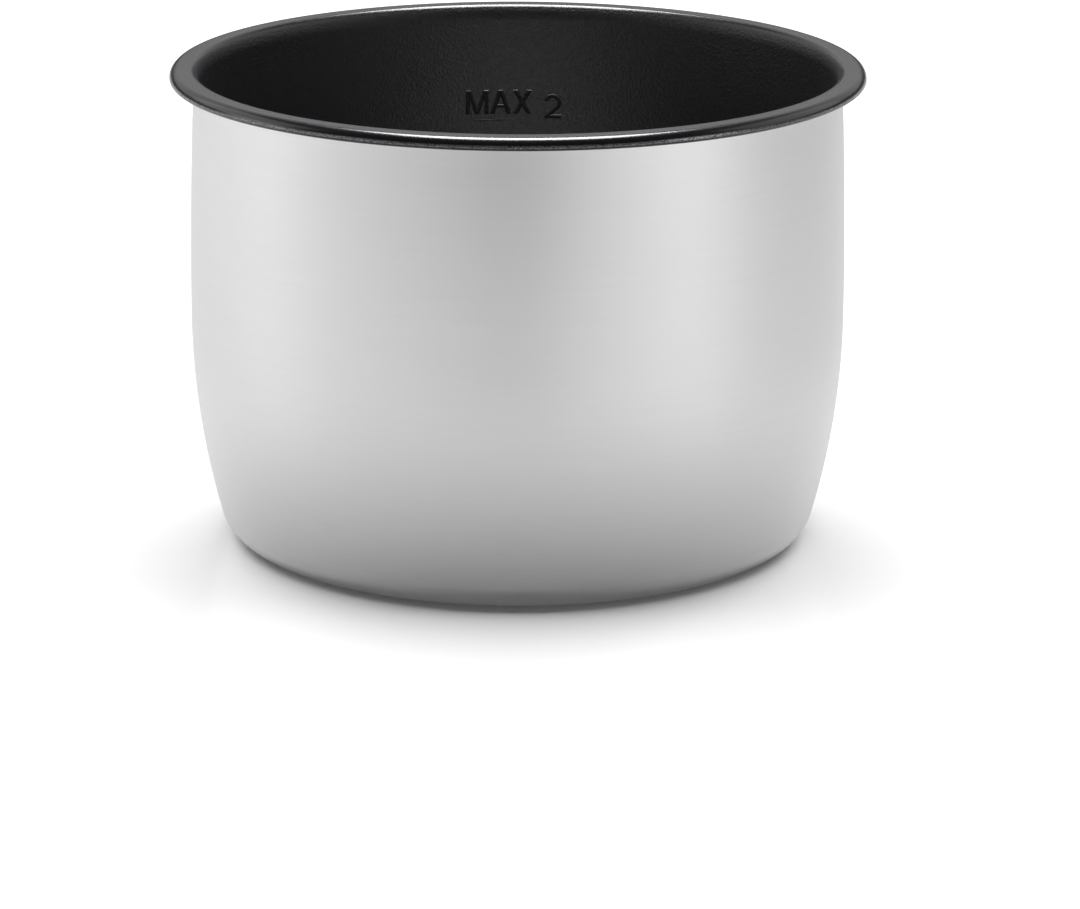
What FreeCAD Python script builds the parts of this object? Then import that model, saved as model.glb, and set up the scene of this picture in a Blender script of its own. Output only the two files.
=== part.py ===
import FreeCAD, Part
import math
import os

# The removable inner pot of an electric pressure cooker: one round pressing of aluminium sheet whose
# rim is bent out into a flange and turned down into a lip, with a black non-stick coat over the
# inside, the flange and the outer face of the lip. The fill marks stand up from the coat.
#
# Frame: the origin is on the axis, in the plane that the pot stands on, and +Z points up.
# The fill marks are on the +Y side of the wall and are read from -Y.

# Driving dimensions, in millimetres and degrees.
pot_height = 127.4
rim_radius = 92.3
sheet_thickness = 1.3
coat_thickness = 0.2

# Underside: a centre that is raised a little, so that the pot stands on the flat ring round it.
base_centre_radius = 46.0
base_step_radius = 60.0
base_step_angle = 6.5
base_flat_radius = 70.8

# Outer face of the wall: a tight corner, a long belly and an upper wall that leans in slightly.
corner_radius = 9.6
corner_sweep = 74.3
belly_radius = 199.0
upper_wall_radius = 1338.0

# Rim, over the coat: the wall flares out, bends into the flange, and the flange bends down.
flare_radius = 7.0
flare_angle = 28.0
inner_bend_radius = 1.8
outer_bend_radius = 2.4

# Fill marks: the height that the letters stand up from the wall, and where they are.
mark_relief = 0.4
stroke_width = 1.15
max_line_height = 94.1
max_line_start = -12.6
max_line_length = 12.2
max_line_width = 0.4
letter_height = 7.0
letter_lift = 1.9
letters_start = -14.9
letter_gap = 0.3
numeral_height = 7.1
numeral_width = 4.9
numeral_lift = 0.75
numeral_start = 7.4
lower_litres = 1.0

wall_thickness = sheet_thickness + coat_thickness
axis_start = FreeCAD.Vector(0, 0, 0)
up = FreeCAD.Vector(0, 0, 1)
back = FreeCAD.Vector(0, 1, 0)


def direction(angle):
    """A unit vector in the XZ plane, turned by angle degrees from +X towards +Z."""
    return FreeCAD.Vector(math.cos(math.radians(angle)), 0, math.sin(math.radians(angle)))


def trace(section, offset):
    """The edges of a section, moved by offset towards the inside of the pot, and its points."""
    point = FreeCAD.Vector(0, 0, base_rise + offset)
    heading = 0.0
    edges = []
    points = [point]
    for size, sweep in section:
        if sweep == 0:
            end = point + direction(heading) * size
            edges.append(Part.LineSegment(point, end).toShape())
        else:
            turn = math.copysign(90, sweep)
            radius = size - math.copysign(offset, sweep)
            centre = point + direction(heading + turn) * radius
            middle = centre + direction(heading + sweep / 2 - turn) * radius
            end = centre + direction(heading + sweep - turn) * radius
            edges.append(Part.Arc(point, middle, end).toShape())
            heading += sweep
        point = end
        points.append(point)
    return edges, points


def revolved(edges):
    """The solid that a closed section in the XZ plane makes when it is turned round the Z axis."""
    wire = Part.Wire(Part.__sortEdges__(edges))
    return Part.Face(wire).revolve(axis_start, up, 360)


def layer(section, inner_offset, outer_offset, rounded):
    """The solid between two offsets of a section, with its free edge rounded or cut square."""
    lower, lower_points = trace(section, inner_offset)
    upper, upper_points = trace(section, outer_offset)
    lower_end = lower_points[-1]
    upper_end = upper_points[-1]
    if rounded:
        tip = (lower_end + upper_end) / 2 - up * (outer_offset - inner_offset) / 2
        free_edge = Part.Arc(lower_end, tip, upper_end).toShape()
    else:
        free_edge = Part.LineSegment(lower_end, upper_end).toShape()
    on_axis = Part.LineSegment(lower_points[0], upper_points[0]).toShape()
    return revolved(lower + [free_edge] + upper + [on_axis])


# The section follows the underside of the sheet from the axis to the free edge of the lip.
# Each step is a run (length, 0) or a tangent bend (radius, degrees), positive when it turns up.
base_rise = 2 * base_step_radius * (1 - math.cos(math.radians(base_step_angle)))
base_step_run = 2 * base_step_radius * math.sin(math.radians(base_step_angle))
base = [
    (base_centre_radius, 0),
    (base_step_radius, -base_step_angle),
    (base_step_radius, base_step_angle),
    (base_flat_radius - base_centre_radius - base_step_run, 0),
]
lower_wall = [(corner_radius, corner_sweep), (belly_radius, 90 - corner_sweep)]
widest = trace(base + lower_wall, 0)[1][-1]

# The upper wall leans in by as much as it needs to reach the flange at the pot's height.
flare_bend_radius = flare_radius - wall_thickness
neck_bend_radius = inner_bend_radius - wall_thickness
flare_sine = math.sin(math.radians(flare_angle))
rise_to_flange = pot_height - wall_thickness - widest.z
neck_rise = flare_bend_radius * flare_sine + neck_bend_radius * (1 - flare_sine)
lean = math.degrees(
    math.asin((rise_to_flange - neck_rise) / (upper_wall_radius + flare_bend_radius))
)
wall = lower_wall + [(upper_wall_radius, lean)]
neck = [(flare_bend_radius, -flare_angle - lean), (neck_bend_radius, flare_angle - 90)]
flange_start = trace(base + wall + neck, 0)[1][-1]
flange_length = rim_radius - outer_bend_radius - flange_start.x
rim = neck + [(flange_length, 0), (outer_bend_radius - wall_thickness, -90)]
pot_section = base + wall + rim

pot_shell = layer(pot_section, 0, sheet_thickness, rounded=True)
nonstick_lining = layer(pot_section, sheet_thickness, wall_thickness, rounded=False)

# The room inside the coat, up to the top of the flange, as a solid to measure its volume.
cavity_edges, cavity_points = trace(base + wall + neck, wall_thickness)
mouth_centre = FreeCAD.Vector(0, 0, pot_height)
cavity = revolved(
    cavity_edges
    + [
        Part.LineSegment(cavity_points[-1], mouth_centre).toShape(),
        Part.LineSegment(mouth_centre, cavity_points[0]).toShape(),
    ]
)


def litres_below(height):
    """What the pot holds when it is filled to a height."""
    box = Part.makeBox(
        2 * rim_radius, 2 * rim_radius, height, FreeCAD.Vector(-rim_radius, -rim_radius, 0)
    )
    return cavity.common(box).Volume / 1e6


def level_of(litres):
    """The height that a number of litres fills the pot to."""
    low, high = 0.0, pot_height
    while high - low > 0.01:
        middle = (low + high) / 2
        if litres_below(middle) < litres:
            low = middle
        else:
            high = middle
    return high


def plate(points, left, bottom):
    """A flat prism across the +Y wall, from an outline of (x, z) points in the letter's own box."""
    corners = [FreeCAD.Vector(left + x, 0, bottom + z) for x, z in points]
    face = Part.Face(Part.makePolygon(corners + corners[:1]))
    return face.extrude(back * rim_radius)


def mirrored(points, width):
    """The same points on the other side of the letter's box, in the opposite order."""
    return [(width - x, z) for x, z in reversed(points)]


def bar(left, bottom, width, height):
    """A rectangle as a prism across the +Y wall."""
    return plate([(0, 0), (width, 0), (width, height), (0, height)], left, bottom)


def letter_m(left, bottom, width, height, stroke):
    """Two stems and a V that reaches the foot of the letter."""
    half = width / 2
    shoulder = 1.3 * stroke
    valley = 1.6 * stroke
    slope = (height - valley) / (half - shoulder)
    left_half = [
        (half - 0.5 * stroke, 0),
        (stroke, slope * (half - 1.5 * stroke)),
        (stroke, 0),
        (0, 0),
        (0, height),
        (shoulder, height),
    ]
    return plate(left_half + [(half, valley)] + mirrored(left_half, width), left, bottom)


def letter_a(left, bottom, width, height, stroke):
    """Two legs that meet in a flat top, with a cross-bar."""
    half = width / 2
    foot = 1.2 * stroke
    top_half = 0.6 * stroke
    apex = height - 1.5 * stroke
    bar_low = 0.26 * height
    bar_high = bar_low + 0.85 * stroke
    low_corner = foot + (half - foot) * bar_low / apex
    high_corner = foot + (half - foot) * bar_high / apex
    left_half = [(low_corner, bar_low), (foot, 0), (0, 0), (half - top_half, height)]
    hole = [(high_corner, bar_high), (half, apex), (width - high_corner, bar_high)]
    outline = plate(left_half + mirrored(left_half, width), left, bottom)
    return outline.cut(plate(hole, left, bottom))


def letter_x(left, bottom, width, height, stroke):
    """Two crossing diagonals."""
    slant = 1.3 * stroke
    rising = [(0, 0), (slant, 0), (width, height), (width - slant, height)]
    falling = [(width - slant, 0), (width, 0), (slant, height), (0, height)]
    return plate(rising, left, bottom).fuse(plate(falling, left, bottom)).removeSplitter()


def numeral_two(left, bottom, width, height, stroke):
    """A round head, a straight diagonal that runs down to the left, and a flat foot."""
    outer = width / 2
    inner = outer - stroke
    centre = FreeCAD.Vector(left + outer, 0, bottom + height - outer)
    start_angle = 168
    end_angle = -48
    middle_angle = (start_angle + end_angle) / 2
    outer_start, outer_middle, outer_end = [
        centre + direction(angle) * outer for angle in (start_angle, middle_angle, end_angle)
    ]
    inner_start, inner_middle, inner_end = [
        centre + direction(angle) * inner for angle in (start_angle, middle_angle, end_angle)
    ]
    downward = direction(end_angle - 90)
    foot_top = bottom + stroke
    tail = [
        outer_end,
        outer_end + downward * ((foot_top - outer_end.z) / downward.z),
        FreeCAD.Vector(left + width, 0, foot_top),
        FreeCAD.Vector(left + width, 0, bottom),
        FreeCAD.Vector(left, 0, bottom),
        inner_end + downward * ((left - inner_end.x) / downward.x),
        inner_end,
    ]
    edges = [
        Part.Arc(outer_start, outer_middle, outer_end).toShape(),
        *Part.makePolygon(tail).Edges,
        Part.Arc(inner_end, inner_middle, inner_start).toShape(),
        Part.LineSegment(inner_start, outer_start).toShape(),
    ]
    return Part.Face(Part.Wire(edges)).extrude(back * rim_radius)


def numeral_one(left, bottom, width, height, stroke):
    """An upright stem with a short flag to its left."""
    stem = (width - stroke) / 2
    flag = stem - 1.3 * stroke
    outline = [
        (stem, 0),
        (stem + stroke, 0),
        (stem + stroke, height),
        (stem + 0.3 * stroke, height),
        (flag, height - 1.1 * stroke),
        (flag, height - 2.1 * stroke),
        (stem, height - 1.3 * stroke),
    ]
    return plate(outline, left, bottom)


# The marks are cut from a thin skin that lies on the coat, so they follow the curve of the wall.
mark_skin = layer(base + wall, wall_thickness, wall_thickness + mark_relief, rounded=False)


def on_wall(prisms):
    """The parts of the skin on the wall that lie inside the prisms, as one group of solids."""
    pieces = []
    for prism in prisms:
        pieces += mark_skin.common(prism).Solids
    return Part.makeCompound(pieces)


letter_base = max_line_height + letter_lift
letter_prisms = []
letter_left = letters_start
for draw, width in ((letter_m, 6.5), (letter_a, 6.2), (letter_x, 5.6)):
    letter_prisms.append(draw(letter_left, letter_base, width, letter_height, stroke_width))
    letter_left += width + letter_gap
max_letters = on_wall(letter_prisms)
max_line = on_wall([bar(max_line_start, max_line_height, max_line_length, max_line_width)])
two = numeral_two(
    numeral_start, max_line_height + numeral_lift, numeral_width, numeral_height, stroke_width
)
litre_mark_2 = on_wall([two])
one = numeral_one(
    numeral_start,
    level_of(lower_litres) + numeral_lift,
    numeral_width,
    numeral_height,
    stroke_width,
)
litre_mark_1 = on_wall([one])

parts = {
    "pot_shell": pot_shell,
    "nonstick_lining": nonstick_lining,
    "max_letters": max_letters,
    "max_line": max_line,
    "litre_mark_2": litre_mark_2,
    "litre_mark_1": litre_mark_1,
}
os.makedirs("parts", exist_ok=True)
for name, shape in parts.items():
    shape.exportStep(f"parts/{name}.step")
    box = shape.BoundBox
    print(
        f"{name}: {len(shape.Solids)} solids, valid {shape.isValid()}, {shape.Volume / 1000:.2f} cm3,"
        f" x {box.XMin:.2f} to {box.XMax:.2f}, z {box.ZMin:.2f} to {box.ZMax:.2f}"
    )
print(f"widest {widest.x:.2f} mm at {widest.z:.2f} mm, flange run {flange_length:.2f} mm")
print(f"holds {litres_below(max_line_height):.3f} l at the line, {litres_below(pot_height):.3f} l full")
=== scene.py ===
import math

import bmesh
import bpy
from mathutils import Matrix, Vector


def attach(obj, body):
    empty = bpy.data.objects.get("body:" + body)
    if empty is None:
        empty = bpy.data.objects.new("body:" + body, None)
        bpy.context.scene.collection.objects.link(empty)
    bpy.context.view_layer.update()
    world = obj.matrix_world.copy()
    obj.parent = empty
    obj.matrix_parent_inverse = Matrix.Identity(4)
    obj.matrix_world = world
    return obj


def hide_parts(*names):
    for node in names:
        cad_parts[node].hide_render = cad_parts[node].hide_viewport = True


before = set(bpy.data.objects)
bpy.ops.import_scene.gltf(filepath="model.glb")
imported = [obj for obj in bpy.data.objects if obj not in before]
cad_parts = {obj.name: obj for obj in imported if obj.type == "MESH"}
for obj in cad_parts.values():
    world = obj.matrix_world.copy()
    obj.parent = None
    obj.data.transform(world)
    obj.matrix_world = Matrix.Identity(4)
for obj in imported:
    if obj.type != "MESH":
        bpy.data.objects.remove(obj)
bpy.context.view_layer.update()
MM = 0.001

# ---------------------------------------------------------------------------------------------
# Sizes of the pot, in metres and degrees. They repeat the driving dimensions of the CAD part.
# ---------------------------------------------------------------------------------------------
POT_HEIGHT = 127.4 * MM
RIM_RADIUS = 92.3 * MM
SHEET = 1.3 * MM
COAT = 0.2 * MM
WALL = SHEET + COAT
COAT_OVERLAP = 0.02 * MM  # the coat starts this far inside the sheet's surface

BASE_CENTRE_RADIUS = 46.0 * MM
BASE_STEP_RADIUS = 60.0 * MM
BASE_STEP_ANGLE = 6.5
BASE_FLAT_RADIUS = 70.8 * MM

CORNER_RADIUS = 9.6 * MM
CORNER_SWEEP = 74.3
BELLY_RADIUS = 199.0 * MM
UPPER_WALL_RADIUS = 1338.0 * MM

FLARE_RADIUS = 7.0 * MM
FLARE_ANGLE = 28.0
INNER_BEND_RADIUS = 1.8 * MM
OUTER_BEND_RADIUS = 2.4 * MM

SEGMENTS = 360
BEND_STEP = 3.0  # degrees between points on a bend
RUN_STEP = 6.0 * MM  # distance between points on a straight run or a long bend
EDGE_STEPS = 12  # facets round the sheet's free edge


# ---------------------------------------------------------------------------------------------
# Camera and stage
# ---------------------------------------------------------------------------------------------
def make_camera():
    """A long lens, a little above the rim, turned and tilted slightly off the axis."""
    distance = 1288.0 * MM
    elevation = math.radians(11.43)
    pitch = math.radians(16.03)
    yaw = math.radians(-0.28)
    roll = math.radians(0.21)
    turn = Matrix.Rotation(yaw, 3, "Z")
    ahead = turn @ Vector((0, math.cos(pitch), -math.sin(pitch)))
    level_up = turn @ Vector((0, math.sin(pitch), math.cos(pitch)))
    level_right = turn @ Vector((1, 0, 0))
    right = math.cos(roll) * level_right + math.sin(roll) * level_up
    up = math.cos(roll) * level_up - math.sin(roll) * level_right
    data = bpy.data.cameras.new("camera")
    data.sensor_fit = "HORIZONTAL"
    data.sensor_width = 36.0
    data.lens = 161.44
    data.clip_start = 0.05
    data.clip_end = 50.0
    camera = bpy.data.objects.new("camera", data)
    basis = Matrix((right, up, -ahead)).transposed().to_4x4()
    height = POT_HEIGHT + distance * math.sin(elevation)
    place = Matrix.Translation((0, -distance * math.cos(elevation), height))
    camera.matrix_world = place @ basis
    bpy.context.scene.collection.objects.link(camera)
    bpy.context.scene.camera = camera


def area_light(name, place, target, size, radiance):
    """A soft box that faces a target. Radiance is how bright its face is."""
    data = bpy.data.lights.new(name, "AREA")
    data.shape = "RECTANGLE"
    data.size, data.size_y = size
    data.energy = radiance * math.pi * size[0] * size[1]
    light = bpy.data.objects.new(name, data)
    light.location = place
    aim = Vector(target) - Vector(place)
    light.rotation_euler = aim.to_track_quat("-Z", "Y").to_euler()
    light.visible_camera = False
    bpy.context.scene.collection.objects.link(light)
    return light


def floor_sheet(name, height, tone, glow):
    """A pale floor that reaches past every view. Glow lifts its shadows."""
    half = 8.0
    corners = [(-half, -half), (half, -half), (half, half), (-half, half)]
    mesh = bpy.data.meshes.new(name)
    mesh.from_pydata([(x, y, height) for x, y in corners], [], [(0, 1, 2, 3)])
    floor = bpy.data.objects.new(name, mesh)
    bpy.context.scene.collection.objects.link(floor)
    material = bpy.data.materials.new(name)
    material.use_nodes = True
    shader = material.node_tree.nodes["Principled BSDF"]
    shader.inputs["Base Color"].default_value = (tone, tone, tone, 1)
    shader.inputs["Roughness"].default_value = 0.2
    shader.inputs["Specular IOR Level"].default_value = 0.3
    shader.inputs["Emission Color"].default_value = (1, 1, 1, 1)
    shader.inputs["Emission Strength"].default_value = glow
    mesh.materials.append(material)
    return floor


def make_stage():
    """A white floor that the camera sees, and a greyer one under it that the pot reflects."""
    white = floor_sheet("floor", 0.0, 0.95, 0.0)
    white.visible_glossy = False
    white.visible_diffuse = False
    white.visible_shadow = False
    grey = floor_sheet("floor_under", -0.5 * MM, 0.7, 0.03)
    grey.visible_camera = False
    return white


PANEL_DISTANCE = 1.2
PANEL_HEIGHT = 0.265
PANEL_SIZE = (0.6, 0.47)


def low_panel(azimuth, radiance):
    """A soft box just over the floor, at an azimuth from -Y towards +X, that faces the pot."""
    angle = math.radians(azimuth)
    place = (PANEL_DISTANCE * math.sin(angle), -PANEL_DISTANCE * math.cos(angle), PANEL_HEIGHT)
    target = (0, 0, PANEL_HEIGHT)
    return area_light(f"panel_{azimuth}", place, target, PANEL_SIZE, radiance)


def aim_lights_at(lights, name, objects, left_out=False):
    """Lets some lights fall on these objects alone, or on everything else."""
    group = bpy.data.collections.new(name)
    for member in objects:
        group.objects.link(member)
    if left_out:
        for entry in group.collection_objects:
            entry.light_linking.link_state = "EXCLUDE"
    for light in lights:
        light.light_linking.receiver_collection = group


def make_lights(floor, coat, marks):
    """Soft boxes round the pot and above it, with their own share for the floor, coat and marks."""
    for_metal = [
        low_panel(-120, 0.85),
        low_panel(-30, 0.5),
        low_panel(30, 0.9),
        low_panel(90, 0.2),
        area_light("ceiling", (0, 1.2, 2.4), (0, 0, 0), (5.0, 3.6), 2.9),
        area_light("horizon", (0, 2.3, 0.18), (0, 0, 0.18), (4.4, 0.34), 0.3),
    ]
    aim_lights_at(for_metal, "bare_metal_and_stage", [floor, coat] + marks, left_out=True)
    for_pot = [
        low_panel(-90, 1.5),
        low_panel(-60, 0.75),
        low_panel(60, 1.6),
        area_light("backdrop", (0, 2.2, 1.2), (0, 0, 0.3), (4.4, 1.5), 0.55),
    ]
    aim_lights_at(for_pot, "all_but_the_floor", [floor], left_out=True)
    for_coat = [
        area_light("rim_box", (0, 0.48, 1.5), (0, 0, 0.1), (0.8, 0.85), 24.0),
        area_light("left_box", (-1.1, 0.35, 0.7), (0, 0, 0.12), (1.2, 0.8), 1.2),
        area_light("right_box", (1.1, 0.3, 0.7), (0, 0, 0.12), (1.2, 0.8), 1.0),
    ]
    aim_lights_at(for_coat, "coat_and_marks", [coat] + marks)
    wall_fill = area_light("far_wall_fill", (0, -0.06, 0.06), (0, 0.084, 0.1), (0.08, 0.04), 5.0)
    aim_lights_at([wall_fill], "coat_alone", [coat])
    marks_box = area_light("marks_box", (0, -0.1, 1.3), (0, 0.085, 0.1), (0.6, 0.5), 45.0)
    aim_lights_at([marks_box], "marks_alone", marks)
    over_floor = area_light("over_floor", (0, 1.0, 2.4), (0, 1.0, 0), (5.0, 3.6), 4.2)
    aim_lights_at([over_floor], "floor_alone", [floor])
    world = bpy.data.worlds.new("world")
    world.use_nodes = True
    world.node_tree.nodes["Background"].inputs["Color"].default_value = (0.05, 0.05, 0.05, 1)
    bpy.context.scene.world = world
    bpy.context.scene.view_settings.view_transform = "Standard"


# ---------------------------------------------------------------------------------------------
# The pot's section: points along an offset of the underside of the sheet
# ---------------------------------------------------------------------------------------------
def heading_vector(angle):
    return Vector((math.cos(math.radians(angle)), math.sin(math.radians(angle))))


def trace(section, offset):
    """Points (r, z) of a section, moved by offset towards the inside."""
    point = Vector((0, BASE_RISE + offset))
    heading = 0.0
    points = [point]
    for size, sweep in section:
        if sweep == 0:
            count = max(1, math.ceil(size / RUN_STEP))
            step = heading_vector(heading) * (size / count)
            points += [point + step * (i + 1) for i in range(count)]
        else:
            turn = math.copysign(90, sweep)
            radius = size - math.copysign(offset, sweep)
            centre = point + heading_vector(heading + turn) * radius
            length = math.radians(abs(sweep)) * radius
            count = max(4, math.ceil(abs(sweep) / BEND_STEP), math.ceil(length / RUN_STEP))
            for i in range(count):
                angle = heading + sweep * (i + 1) / count
                points.append(centre + heading_vector(angle - turn) * radius)
            heading += sweep
        point = points[-1]
    return points


BASE_RISE = 2 * BASE_STEP_RADIUS * (1 - math.cos(math.radians(BASE_STEP_ANGLE)))
BASE_STEP_RUN = 2 * BASE_STEP_RADIUS * math.sin(math.radians(BASE_STEP_ANGLE))
BASE = [
    (BASE_CENTRE_RADIUS, 0),
    (BASE_STEP_RADIUS, -BASE_STEP_ANGLE),
    (BASE_STEP_RADIUS, BASE_STEP_ANGLE),
    (BASE_FLAT_RADIUS - BASE_CENTRE_RADIUS - BASE_STEP_RUN, 0),
]
LOWER_WALL = [(CORNER_RADIUS, CORNER_SWEEP), (BELLY_RADIUS, 90 - CORNER_SWEEP)]
WIDEST = trace(BASE + LOWER_WALL, 0)[-1]
FLARE_BEND = FLARE_RADIUS - WALL
NECK_BEND = INNER_BEND_RADIUS - WALL
FLARE_SINE = math.sin(math.radians(FLARE_ANGLE))
RISE_TO_FLANGE = POT_HEIGHT - WALL - WIDEST.y
NECK_RISE = FLARE_BEND * FLARE_SINE + NECK_BEND * (1 - FLARE_SINE)
LEAN = math.degrees(math.asin((RISE_TO_FLANGE - NECK_RISE) / (UPPER_WALL_RADIUS + FLARE_BEND)))
NECK = [(FLARE_BEND, -FLARE_ANGLE - LEAN), (NECK_BEND, FLARE_ANGLE - 90)]
TO_NECK = BASE + LOWER_WALL + [(UPPER_WALL_RADIUS, LEAN)] + NECK
FLANGE_RUN = RIM_RADIUS - OUTER_BEND_RADIUS - trace(TO_NECK, 0)[-1].x
SECTION = TO_NECK + [(FLANGE_RUN, 0), (OUTER_BEND_RADIUS - WALL, -90)]
ROUND_THE_EDGE = [(-SHEET / 2, -90)]  # a bend about the middle of the sheet


def wall_radius(height):
    """The radius of the coated inner wall at a height."""
    bend = UPPER_WALL_RADIUS if height > WIDEST.y else BELLY_RADIUS
    return WIDEST.x - bend + math.sqrt((bend - WALL) ** 2 - (height - WIDEST.y) ** 2)


# ---------------------------------------------------------------------------------------------
# Meshes
# ---------------------------------------------------------------------------------------------
def finish_piece(mesh, name, node_names, material):
    """Puts a mesh in the scene as a piece that stands for CAD nodes."""
    mesh.materials.append(material)
    piece = bpy.data.objects.new(name, mesh)
    bpy.context.scene.collection.objects.link(piece)
    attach(piece, "root")
    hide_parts(*node_names)
    return piece


def lathe(name, loop, sharp_at=()):
    """A closed body of revolution from a loop of (r, z) points that starts and ends on the axis."""
    work = bmesh.new()
    rings = []
    for point in loop:
        if point.x < 1e-7:
            rings.append([work.verts.new((0, 0, point.y))])
            continue
        ring = []
        for i in range(SEGMENTS):
            angle = 2 * math.pi * i / SEGMENTS
            ring.append(work.verts.new((point.x * math.cos(angle), point.x * math.sin(angle), point.y)))
        rings.append(ring)
    for lower, upper in zip(rings, rings[1:]):
        for i in range(SEGMENTS):
            j = (i + 1) % SEGMENTS
            if len(lower) == 1:
                work.faces.new((lower[0], upper[j], upper[i]))
            elif len(upper) == 1:
                work.faces.new((lower[i], lower[j], upper[0]))
            else:
                work.faces.new((lower[i], lower[j], upper[j], upper[i]))
    for face in work.faces:
        face.smooth = True
    for place in sharp_at:
        ring = rings[place]
        for i in range(SEGMENTS):
            edge = work.edges.get((ring[i], ring[(i + 1) % SEGMENTS]))
            edge.smooth = False
    bmesh.ops.recalc_face_normals(work, faces=work.faces)
    mesh = bpy.data.meshes.new(name)
    work.to_mesh(mesh)
    work.free()
    return mesh


def shell_mesh():
    """The metal sheet, with a round free edge."""
    outside = trace(SECTION, 0)
    inside = trace(SECTION, SHEET)
    centre = (outside[-1] + inside[-1]) / 2
    half = SHEET / 2
    turns = [180 + 180 * i / EDGE_STEPS for i in range(1, EDGE_STEPS)]
    free_edge = [centre + heading_vector(turn) * half for turn in turns]
    return lathe("pot_body", outside + free_edge + inside[::-1])


def coat_mesh():
    """The coat, with a square free edge just above the end of the sheet."""
    under = trace(SECTION + ROUND_THE_EDGE, SHEET - COAT_OVERLAP)
    over = trace(SECTION + ROUND_THE_EDGE, WALL)
    sharp = (len(under) - 1, len(under))
    return lathe("nonstick_coat", under + over[::-1], sharp)


# ---------------------------------------------------------------------------------------------
# Fill marks: outlines of plain letters, in a box with its corner at (0, 0), in metres
# ---------------------------------------------------------------------------------------------
STROKE = 1.15 * MM
LETTER_HEIGHT = 7.0 * MM
NUMERAL_HEIGHT = 7.1 * MM
NUMERAL_WIDTH = 4.9 * MM
MARK_RELIEF = 0.4 * MM
MARK_EDGE = 0.3 * MM
LINE_RELIEF = 0.14 * MM
LINE_EDGE = 0.1 * MM


def outline_m(width, height):
    half = width / 2
    shoulder = 1.3 * STROKE
    valley = 1.6 * STROKE
    slope = (height - valley) / (half - shoulder)
    armpit = slope * (half - 1.5 * STROKE)
    left = [(half - 0.5 * STROKE, 0), (STROKE, armpit), (STROKE, 0), (0, 0), (0, height), (shoulder, height)]
    right = [(width - x, y) for x, y in reversed(left)]
    return [left + [(half, valley)] + right]


def outline_a(width, height):
    half = width / 2
    foot = 1.2 * STROKE
    top = 0.6 * STROKE
    apex = height - 1.5 * STROKE
    bar_low = 0.26 * height
    bar_high = bar_low + 0.85 * STROKE
    inner_low = foot + (half - foot) * bar_low / apex
    inner_high = foot + (half - foot) * bar_high / apex
    left = [(inner_low, bar_low), (foot, 0), (0, 0), (half - top, height)]
    right = [(width - x, y) for x, y in reversed(left)]
    hole = [(inner_high, bar_high), (half, apex), (width - inner_high, bar_high)]
    return [left + right, hole]


def outline_x(width, height):
    foot = 1.3 * STROKE
    half = width / 2
    middle = height / 2
    notch = middle * foot / (width - foot)
    quarter = [(half - foot / 2, middle), (0, height), (foot, height), (half, middle + notch)]
    top = quarter + [(width - x, y) for x, y in reversed(quarter[:-1])]
    bottom = [(x, height - y) for x, y in reversed(top[1:-1])]
    return [top + bottom]


def outline_two(width, height):
    """A round head, a straight diagonal and a flat foot."""
    outer = width / 2
    inner = outer - STROKE
    centre = Vector((outer, height - outer))
    start = 168.0
    end = -48.0
    steps = 24
    angles = [start + (end - start) * i / steps for i in range(steps + 1)]
    down = heading_vector(end - 90)
    outer_end = centre + heading_vector(end) * outer
    inner_end = centre + heading_vector(end) * inner
    outer_foot = outer_end + down * ((outer_end.y - STROKE) / -down.y)
    inner_foot = inner_end + down * (inner_end.x / -down.x)
    points = [centre + heading_vector(angle) * outer for angle in angles]
    points += [outer_foot, Vector((width, STROKE)), Vector((width, 0)), Vector((0, 0)), inner_foot]
    points += [centre + heading_vector(angle) * inner for angle in reversed(angles)]
    return [[tuple(point) for point in points]]


def outline_one(width, height):
    stem = (width - STROKE) / 2
    flag = stem - 1.3 * STROKE
    return [
        [
            (stem, 0),
            (stem + STROKE, 0),
            (stem + STROKE, height),
            (stem + 0.3 * STROKE, height),
            (flag, height - 1.1 * STROKE),
            (flag, height - 2.1 * STROKE),
            (stem, height - 1.3 * STROKE),
        ]
    ]


def outline_bar(width, height):
    return [[(0, 0), (width, 0), (width, height), (0, height)]]


def mark_mesh(name, glyphs, relief, edge):
    """Raised marks with soft edges, wrapped on the inner wall on its +Y side."""
    curve = bpy.data.curves.new(name, "CURVE")
    curve.dimensions = "2D"
    curve.fill_mode = "BOTH"
    curve.extrude = relief - edge
    curve.bevel_depth = edge
    curve.bevel_resolution = 3
    curve.offset = -edge
    for outlines, left, bottom in glyphs:
        for outline in outlines:
            spline = curve.splines.new("POLY")
            spline.points.add(len(outline) - 1)
            for point, (x, y) in zip(spline.points, outline):
                point.co = (left + x, bottom + y, 0, 1)
            spline.use_cyclic_u = True
    holder = bpy.data.objects.new(name, curve)
    bpy.context.scene.collection.objects.link(holder)
    graph = bpy.context.evaluated_depsgraph_get()
    mesh = bpy.data.meshes.new_from_object(holder.evaluated_get(graph))
    bpy.data.objects.remove(holder)
    bpy.data.curves.remove(curve)
    work = bmesh.new()
    work.from_mesh(mesh)
    bmesh.ops.remove_doubles(work, verts=work.verts, dist=1e-7)
    for vertex in work.verts:
        along, height, out = vertex.co
        base_radius = wall_radius(height)
        angle = along / base_radius
        radius = base_radius - out
        vertex.co = (radius * math.sin(angle), radius * math.cos(angle), height)
    for face in work.faces:
        face.smooth = False
    bmesh.ops.recalc_face_normals(work, faces=work.faces)
    work.to_mesh(mesh)
    work.free()
    mesh.materials.clear()
    mesh.name = name
    return mesh


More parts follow.
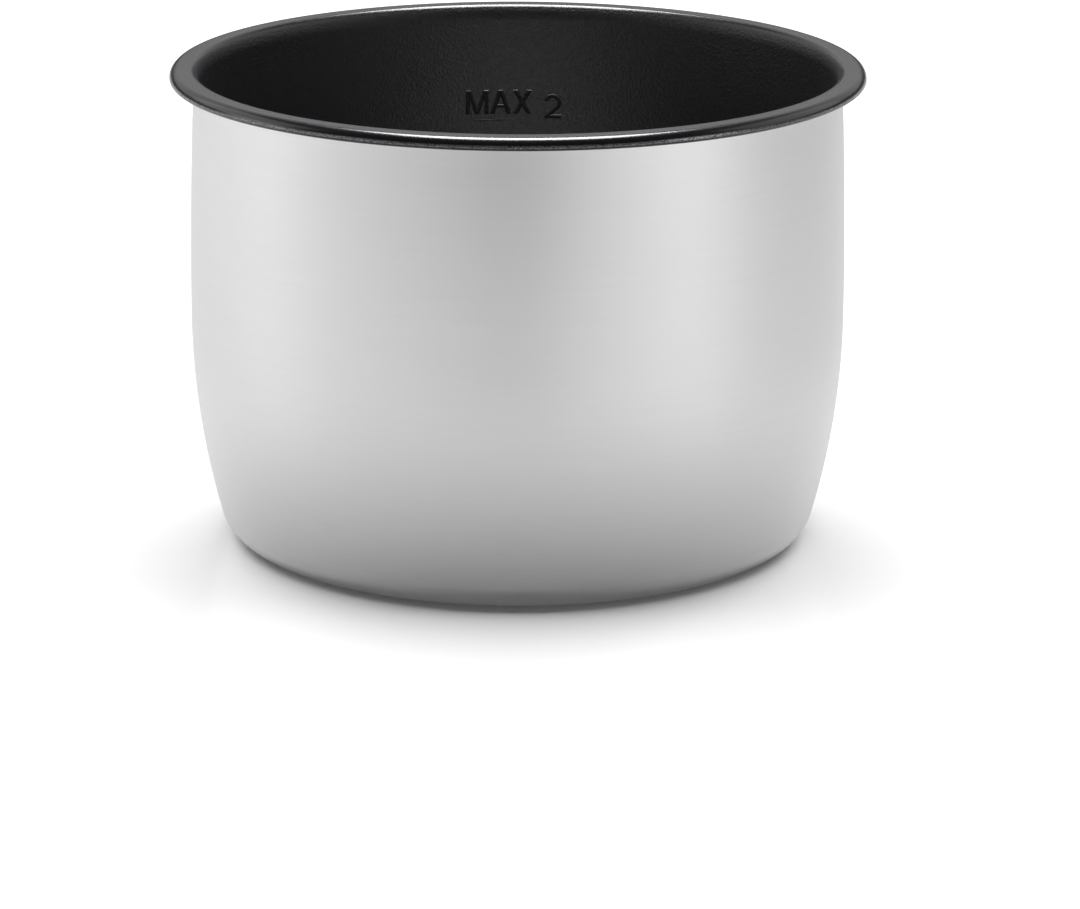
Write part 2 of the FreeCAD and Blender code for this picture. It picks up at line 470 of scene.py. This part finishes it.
# ---------------------------------------------------------------------------------------------
# Materials
# ---------------------------------------------------------------------------------------------
class Nodes:
    """Short calls that add a node to a material and give back an output."""

    def __init__(self, name):
        self.material = bpy.data.materials.new(name)
        self.material.use_nodes = True
        self.tree = self.material.node_tree
        self.shader = self.tree.nodes["Principled BSDF"]

    def link(self, value, socket):
        if isinstance(value, bpy.types.NodeSocket):
            self.tree.links.new(value, socket)
        else:
            socket.default_value = value

    def add(self, kind, **settings):
        node = self.tree.nodes.new(kind)
        for key, value in settings.items():
            setattr(node, key, value)
        return node

    def math(self, operation, first, second=0.0, clamp=False):
        node = self.add("ShaderNodeMath", operation=operation, use_clamp=clamp)
        self.link(first, node.inputs[0])
        self.link(second, node.inputs[1])
        return node.outputs[0]

    def position(self):
        """The point's place in the pot's frame, as x, y, z and its distance from the axis."""
        split = self.add("ShaderNodeSeparateXYZ")
        self.link(self.add("ShaderNodeTexCoord").outputs["Object"], split.inputs[0])
        x, y, z = split.outputs
        square = self.math("ADD", self.math("MULTIPLY", x, x), self.math("MULTIPLY", y, y))
        return x, y, z, self.math("SQRT", square)

    def vector(self, x, y, z):
        join = self.add("ShaderNodeCombineXYZ")
        for value, socket in zip((x, y, z), join.inputs):
            self.link(value, socket)
        return join.outputs[0]

    def noise(self, vector, scale, detail=2.0, roughness=0.5):
        node = self.add("ShaderNodeTexNoise")
        self.link(vector, node.inputs["Vector"])
        node.inputs["Scale"].default_value = scale
        node.inputs["Detail"].default_value = detail
        node.inputs["Roughness"].default_value = roughness
        return node.outputs["Fac"]

    def span(self, value, low, high, to_low, to_high, smooth=False):
        """Maps a value from one range to another, and keeps it inside."""
        node = self.add("ShaderNodeMapRange")
        node.interpolation_type = "SMOOTHSTEP" if smooth else "LINEAR"
        node.clamp = True
        self.link(value, node.inputs["Value"])
        for socket, bound in zip(node.inputs[1:5], (low, high, to_low, to_high)):
            self.link(bound, socket)
        return node.outputs["Result"]

    def blend(self, factor, first, second):
        node = self.add("ShaderNodeMix", data_type="RGBA")
        self.link(factor, node.inputs[0])
        self.link(first, node.inputs[6])
        self.link(second, node.inputs[7])
        return node.outputs[2]

    def bump(self, height, strength, distance, normal=None):
        node = self.add("ShaderNodeBump")
        node.inputs["Strength"].default_value = strength
        node.inputs["Distance"].default_value = distance
        self.link(height, node.inputs["Height"])
        if normal is not None:
            self.link(normal, node.inputs["Normal"])
        return node.outputs[0]


def brushed_metal():
    """Satin metal with fine brushing round the axis, and turned rings on the base."""
    n = Nodes("brushed_metal")
    x, y, z, r = n.position()
    along = n.math("ADD", z, r)
    grooves = n.noise(n.vector(n.math("MULTIPLY", x, 0.012), n.math("MULTIPLY", y, 0.012), along), 3200, 3)
    streaks = n.noise(n.vector(n.math("MULTIPLY", x, 0.03), n.math("MULTIPLY", y, 0.03), along), 900, 3)
    speckle = n.noise(n.vector(x, y, z), 2600, 2)
    cloud = n.noise(n.vector(x, y, z), 22, 3)
    tone = n.math("MULTIPLY", n.span(streaks, 0.3, 0.7, 0.985, 1.0), n.span(cloud, 0.3, 0.7, 0.99, 1.0))
    n.link(n.blend(tone, (0.0, 0.0, 0.0, 1), (0.82, 0.82, 0.825, 1)), n.shader.inputs["Base Color"])
    gloss = n.math("ADD", n.span(grooves, 0.3, 0.7, 0.32, 0.38), n.span(speckle, 0.35, 0.75, 0.0, 0.05))
    n.link(gloss, n.shader.inputs["Roughness"])
    n.shader.inputs["Metallic"].default_value = 1.0
    n.shader.inputs["Anisotropic"].default_value = 0.6
    tangent = n.add("ShaderNodeTangent", direction_type="RADIAL", axis="Z")
    n.link(tangent.outputs[0], n.shader.inputs["Tangent"])
    fine = n.bump(grooves, 0.12, 0.00004)
    n.link(n.bump(speckle, 0.08, 0.00003, fine), n.shader.inputs["Normal"])
    return n.material


def nonstick_black():
    """Black coat: smooth on the rim, grainy inside, and worn in specks along the lip's lower edge."""
    n = Nodes("nonstick_black")
    x, y, z, r = n.position()
    place = n.vector(x, y, z)
    grain = n.noise(place, 2600, 2, 0.6)
    pebble = n.noise(place, 1500, 2, 0.6)
    cloud = n.noise(place, 35, 3)
    inside = n.math(
        "MULTIPLY",
        n.span(z, POT_HEIGHT - 1.4 * MM, POT_HEIGHT - 0.4 * MM, 1.0, 0.0),
        n.span(r, RIM_RADIUS - 5.2 * MM, RIM_RADIUS - 4.6 * MM, 1.0, 0.0),
    )
    edge = n.math(
        "MULTIPLY",
        n.span(z, POT_HEIGHT - 1.7 * MM, POT_HEIGHT - 2.0 * MM, 0.0, 1.0),
        n.span(z, POT_HEIGHT - 2.4 * MM, POT_HEIGHT - 2.7 * MM, 1.0, 0.0),
    )
    edge = n.math("MULTIPLY", edge, n.span(r, RIM_RADIUS - 0.6 * MM, RIM_RADIUS - 0.3 * MM, 0.0, 1.0))
    specks = n.noise(place, 2800, 2, 0.7)
    worn = n.math("MULTIPLY", edge, n.span(specks, 0.4, 0.62, 0.0, 0.8))
    black = n.blend(n.span(pebble, 0.3, 0.7, 0.0, 1.0), (0.004, 0.004, 0.0055, 1), (0.009, 0.009, 0.0115, 1))
    n.link(n.blend(worn, black, (0.42, 0.42, 0.42, 1)), n.shader.inputs["Base Color"])
    rim_gloss = n.math("ADD", n.span(grain, 0.3, 0.7, 0.17, 0.23), n.span(cloud, 0.3, 0.7, 0.0, 0.03))
    inside_gloss = n.span(grain, 0.3, 0.7, 0.42, 0.54)
    gloss = n.add("ShaderNodeMix", data_type="FLOAT")
    n.link(inside, gloss.inputs[0])
    n.link(rim_gloss, gloss.inputs[2])
    n.link(inside_gloss, gloss.inputs[3])
    n.link(gloss.outputs[0], n.shader.inputs["Roughness"])
    n.link(worn, n.shader.inputs["Metallic"])
    n.shader.inputs["IOR"].default_value = 1.5
    soft = n.bump(n.math("MULTIPLY", pebble, inside), 1.0, 0.00022)
    n.link(n.bump(grain, 0.15, 0.0001, soft), n.shader.inputs["Normal"])
    return n.material


# ---------------------------------------------------------------------------------------------
# The pot
# ---------------------------------------------------------------------------------------------
make_camera()
floor = make_stage()

metal = brushed_metal()
coat = nonstick_black()
finish_piece(shell_mesh(), "pot_body", ["pot_shell"], metal)
lining = finish_piece(coat_mesh(), "nonstick_coat", ["nonstick_lining"], coat)
marks = []

MAX_LINE_HEIGHT = 94.1 * MM
LETTER_BASE = MAX_LINE_HEIGHT + 1.9 * MM
NUMERAL_LEFT = 7.4 * MM
ONE_LITRE_LEVEL = 49.0 * MM
NUMERAL_LIFT = 0.75 * MM  # a numeral stands this far above its level

letters = [
    (outline_m(6.5 * MM, LETTER_HEIGHT), -14.9 * MM, LETTER_BASE),
    (outline_a(6.2 * MM, LETTER_HEIGHT), -8.1 * MM, LETTER_BASE),
    (outline_x(5.6 * MM, LETTER_HEIGHT), -1.6 * MM, LETTER_BASE),
]
line = [(outline_bar(12.2 * MM, 0.4 * MM), -12.6 * MM, MAX_LINE_HEIGHT)]
two = [(outline_two(NUMERAL_WIDTH, NUMERAL_HEIGHT), NUMERAL_LEFT, MAX_LINE_HEIGHT + NUMERAL_LIFT)]
one = [(outline_one(NUMERAL_WIDTH, NUMERAL_HEIGHT), NUMERAL_LEFT, ONE_LITRE_LEVEL + NUMERAL_LIFT)]
for name, glyphs, relief, edge in (
    ("max_letters", letters, MARK_RELIEF, MARK_EDGE),
    ("max_line", line, LINE_RELIEF, LINE_EDGE),
    ("litre_mark_2", two, MARK_RELIEF, MARK_EDGE),
    ("litre_mark_1", one, MARK_RELIEF, MARK_EDGE),
):
    mesh = mark_mesh("raised_" + name, glyphs, relief, edge)
    marks.append(finish_piece(mesh, "raised_" + name, [name], coat))

make_lights(floor, lining, marks)
